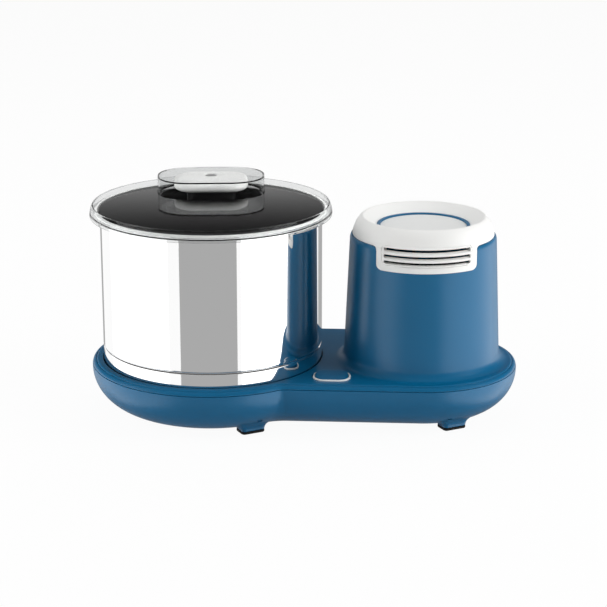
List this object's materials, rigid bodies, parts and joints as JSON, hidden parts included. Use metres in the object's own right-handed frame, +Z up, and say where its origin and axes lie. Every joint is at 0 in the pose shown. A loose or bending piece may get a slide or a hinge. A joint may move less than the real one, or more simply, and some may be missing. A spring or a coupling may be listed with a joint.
{
  "type": "wet grinder",
  "caption": "Table-top wet grinder: a steel drum with rolling stones under a clear lid, driven by a belt from a motor tower on a shared low base.",
  "frame": {"origin": "centre of the object's box at the floor, under the waist between the drum and the motor tower", "axes": "+X from the drum towards the motor tower, -Y is the front with the switch, +Z up"},
  "size_m": [0.4672, 0.266, 0.2453],
  "materials": {
    "blue_plastic": "satin moulded plastic",
    "white_plastic": "semi-gloss moulded plastic",
    "food_white_plastic": "plain moulded nylon",
    "pale_grey_plastic": "satin moulded plastic",
    "clear_plastic": "clear polycarbonate",
    "gloss_black_panel": "mirror gloss",
    "black_plastic": "plain moulded plastic",
    "red_plastic": "moulded plastic",
    "black_rubber": "moulded rubber",
    "polished_steel": "mirror-polished stainless steel",
    "plain_steel": "zinc-plated steel",
    "cast_aluminium": "as cast",
    "capacitor_can": "moulded plastic",
    "copper_winding": "enamelled copper wire",
    "granite": "honed granite"
  },
  "bodies": {
    "base": {"base_shell": "blue_plastic", "top_cover": "blue_plastic", "chassis_plate": "plain_steel", "drive_belt": "black_rubber", "cord_gland": "black_rubber", "start_capacitor": "capacitor_can", "capacitor_clip": "plain_steel", "switch_bezel": "white_plastic", "switch_body": "black_plastic", "foot_pad_1": "black_rubber", "foot_pad_2": "black_rubber", "foot_pad_3": "black_rubber", "foot_pad_4": "black_rubber", "foot_pad_5": "black_rubber", "cover_screw_1": "plain_steel", "cover_screw_2": "plain_steel", "cover_screw_3": "plain_steel", "cover_screw_4": "plain_steel", "centre_post": "polished_steel", "lower_post_bearing": "plain_steel", "upper_post_bearing": "plain_steel", "top_cap": "white_plastic", "cap_ring": "blue_plastic", "cap_disc": "pale_grey_plastic", "stator_stack": "plain_steel", "lower_coil": "copper_winding", "upper_coil": "copper_winding", "lower_motor_cup": "cast_aluminium", "upper_motor_cup": "cast_aluminium", "lower_motor_bearing": "plain_steel", "upper_motor_bearing": "plain_steel", "reset_body": "black_plastic"},
    "hub": {"drive_hub": "cast_aluminium", "drum_pulley": "black_plastic"},
    "rotor": {"rotor_core": "plain_steel", "motor_shaft": "polished_steel", "motor_pulley": "cast_aluminium", "cooling_fan": "black_plastic"},
    "rocker": {"switch_key": "blue_plastic"},
    "reset": {"reset_button": "red_plastic"},
    "carriage": {"post_bush": "food_white_plastic"},
    "drum": {"drum_shell": "polished_steel", "drum_coupling": "black_plastic", "centre_tube": "food_white_plastic", "stone_bed": "granite"},
    "holder": {"stone_holder": "food_white_plastic", "handle_arm": "black_plastic", "lift_handle": "white_plastic", "wall_wiper": "food_white_plastic", "left_axle": "polished_steel", "right_axle": "polished_steel", "left_axle_nut": "black_plastic", "right_axle_nut": "black_plastic"},
    "left_stone": {"left_roller_stone": "granite", "left_stone_bush": "food_white_plastic"},
    "right_stone": {"right_roller_stone": "granite", "right_stone_bush": "food_white_plastic"},
    "lid": {"lid_clear": "clear_plastic", "lid_panel": "gloss_black_panel", "panel_ring": "pale_grey_plastic"}
  },
  "joints": [
    {"name": "drum_lift", "type": "slide", "parent": "base", "child": "carriage", "axis": [0, 0, 1], "range_m": [0, 0.11]},
    {"name": "drum_spin", "type": "hinge", "parent": "carriage", "child": "drum", "pos_m": [-0.1006, 0, 0], "axis": [0, 0, 1], "continuous": true},
    {"name": "holder_lift", "type": "slide", "parent": "carriage", "child": "holder", "axis": [0, 0, 1], "range_m": [0, 0.15]},
    {"name": "left_stone_spin", "type": "hinge", "parent": "holder", "child": "left_stone", "pos_m": [-0.1006, 0, 0.1205], "axis": [-0.9945, -0.1045, 0], "continuous": true},
    {"name": "right_stone_spin", "type": "hinge", "parent": "holder", "child": "right_stone", "pos_m": [-0.1006, 0, 0.1205], "axis": [0.9945, 0.1045, 0], "continuous": true},
    {"name": "lid_lift", "type": "slide", "parent": "holder", "child": "lid", "axis": [0, 0, 1], "range_m": [0, 0.06]},
    {"name": "hub_spin", "type": "hinge", "parent": "base", "child": "hub", "pos_m": [-0.1006, 0, 0], "axis": [0, 0, 1], "continuous": true},
    {"name": "motor_spin", "type": "hinge", "parent": "base", "child": "rotor", "pos_m": [0.1294, 0, 0], "axis": [0, 0, 1], "continuous": true},
    {"name": "switch_rock", "type": "hinge", "parent": "base", "child": "rocker", "pos_m": [0.0344, -0.075, 0.06], "axis": [1, 0, 0], "range_deg": [-14, 0]},
    {"name": "reset_press", "type": "slide", "parent": "base", "child": "reset", "axis": [0, -1, 0], "range_m": [0, 0.0025], "stiffness_N_per_m": 400}
  ],
  "couplings": [
    {"joint": "hub_spin", "follows": "drum_spin", "ratio": 1},
    {"joint": "motor_spin", "follows": "drum_spin", "ratio": 7},
    {"joint": "left_stone_spin", "follows": "drum_spin", "ratio": 1.6071},
    {"joint": "right_stone_spin", "follows": "drum_spin", "ratio": 1.6071}
  ]
}
